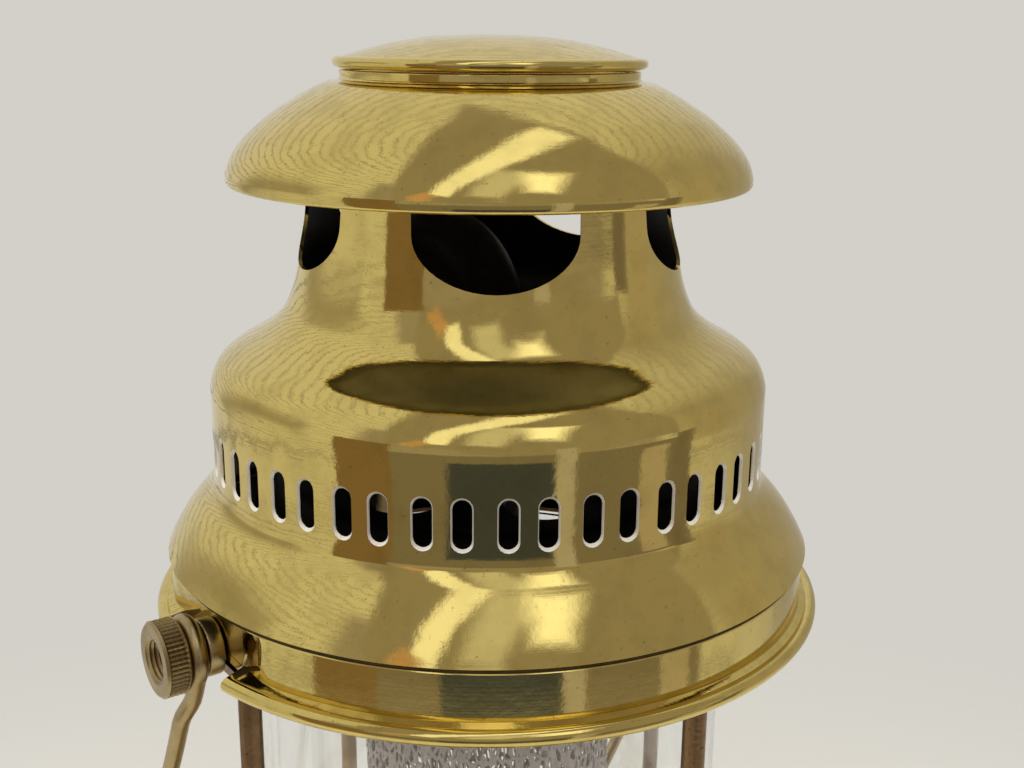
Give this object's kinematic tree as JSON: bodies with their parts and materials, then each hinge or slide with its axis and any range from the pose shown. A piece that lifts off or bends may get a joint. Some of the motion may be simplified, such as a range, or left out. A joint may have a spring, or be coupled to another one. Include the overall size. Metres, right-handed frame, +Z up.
{
  "type": "pressure lantern",
  "caption": "Brass paraffin pressure lantern with a slotted ventilator hood, capped windowed neck, glass globe, caged mantle burner, pumped fount with a gauge cap and a swinging wire bail.",
  "frame": {"origin": "centre of the ring that the fount stands on", "axes": "+Z up; the bail turns about X and rests towards +Y; the pump and the filler are on the -Y side"},
  "size_m": [0.175, 0.1812, 0.3989],
  "materials": {
    "polished_brass": "polished, with fine spinning lines",
    "aged_brass": "dull and aged",
    "blackened_steel": "dark, brownish",
    "sooted_steel": "matt, sooted",
    "clear_glass": "clear",
    "burner_ceramic": "unglazed",
    "mantle_knit": "fine knit",
    "pump_hide": "oiled",
    "black_rubber": "matt",
    "dial_enamel": "satin white"
  },
  "bodies": {
    "lantern": {"burner_nozzle": "burner_ceramic", "cage_base": "polished_brass", "cage_top_ring": "blackened_steel", "check_valve": "polished_brass", "filler_neck": "polished_brass", "fount_bottom": "polished_brass", "fount_shell": "polished_brass", "gallery": "polished_brass", "gland_nut": "polished_brass", "globe": "clear_glass", "heating_loop": "aged_brass", "hood_dome": "polished_brass", "hood_shell": "polished_brass", "hood_top_disc": "polished_brass", "inner_casing": "sooted_steel", "jet": "aged_brass", "left_bail_stud": "aged_brass", "mantle": "mantle_knit", "mantle_tie": "mantle_knit", "mixing_chamber": "sooted_steel", "mixing_tube": "sooted_steel", "pickup_tube": "polished_brass", "pump_barrel": "polished_brass", "pump_gland": "polished_brass", "right_bail_stud": "aged_brass", "spirit_cup": "polished_brass", "upright_1": "blackened_steel", "upright_2": "blackened_steel", "upright_3": "blackened_steel", "upright_4": "blackened_steel", "valve_block": "polished_brass", "vaporizer_boss": "polished_brass", "vaporizer_tube": "aged_brass"},
    "bail": {"bail": "aged_brass"},
    "left_nut": {"left_bail_nut": "aged_brass"},
    "right_nut": {"right_bail_nut": "aged_brass"},
    "valve_wheel": {"valve_wheel": "blackened_steel", "valve_spindle": "polished_brass", "wheel_nut": "polished_brass"},
    "pricker": {"pricker_rod": "blackened_steel"},
    "pump_plunger": {"pump_rod": "blackened_steel", "pump_knob": "polished_brass", "pump_leather": "pump_hide", "pump_washer": "polished_brass"},
    "filler_cap": {"filler_cap": "polished_brass", "cap_gasket": "black_rubber", "gauge_dial": "dial_enamel", "gauge_bezel": "polished_brass", "gauge_glass": "clear_glass"},
    "release_screw": {"release_screw": "polished_brass"},
    "gauge_hand": {"gauge_hand": "blackened_steel"}
  },
  "joints": [
    {"name": "bail_swing", "type": "hinge", "parent": "lantern", "child": "bail", "pos_m": [0, 0, 0.27306], "axis": [1, 0, 0], "range_deg": [0, 290]},
    {"name": "left_nut_turn", "type": "hinge", "parent": "lantern", "child": "left_nut", "pos_m": [-0.0703, 0, 0.27306], "axis": [-1, 0, 0], "range_deg": [0, 720]},
    {"name": "right_nut_turn", "type": "hinge", "parent": "lantern", "child": "right_nut", "pos_m": [0.0703, 0, 0.27306], "axis": [1, 0, 0], "range_deg": [0, 720]},
    {"name": "valve_turn", "type": "hinge", "parent": "lantern", "child": "valve_wheel", "pos_m": [-0.00706, 0.03632, 0.1216], "axis": [-0.766, 0.6428, 0], "range_deg": [0, 180]},
    {"name": "pricker_lift", "type": "slide", "parent": "lantern", "child": "pricker", "axis": [0, 0, 1], "range_m": [0, 0.003]},
    {"name": "pump_stroke", "type": "slide", "parent": "lantern", "child": "pump_plunger", "axis": [0.4339, -0.6944, 0.5741], "range_m": [0, 0.07]},
    {"name": "filler_cap_turn", "type": "hinge", "parent": "lantern", "child": "filler_cap", "pos_m": [-0.04731, -0.06512, 0.08427], "axis": [-0.4506, -0.6202, 0.6422], "range_deg": [0, 720]},
    {"name": "release_screw_turn", "type": "hinge", "parent": "filler_cap", "child": "release_screw", "pos_m": [-0.05272, -0.07257, 0.09197], "axis": [0.809, -0.5878, 0], "range_deg": [0, 720]},
    {"name": "gauge_hand_turn", "type": "hinge", "parent": "filler_cap", "child": "gauge_hand", "pos_m": [-0.04731, -0.06512, 0.08427], "axis": [0.4506, 0.6202, -0.6422], "range_deg": [0, 270]}
  ],
  "couplings": [
    {"joint": "pricker_lift", "follows": "valve_turn", "m_per_rad": 0.00095492}
  ]
}
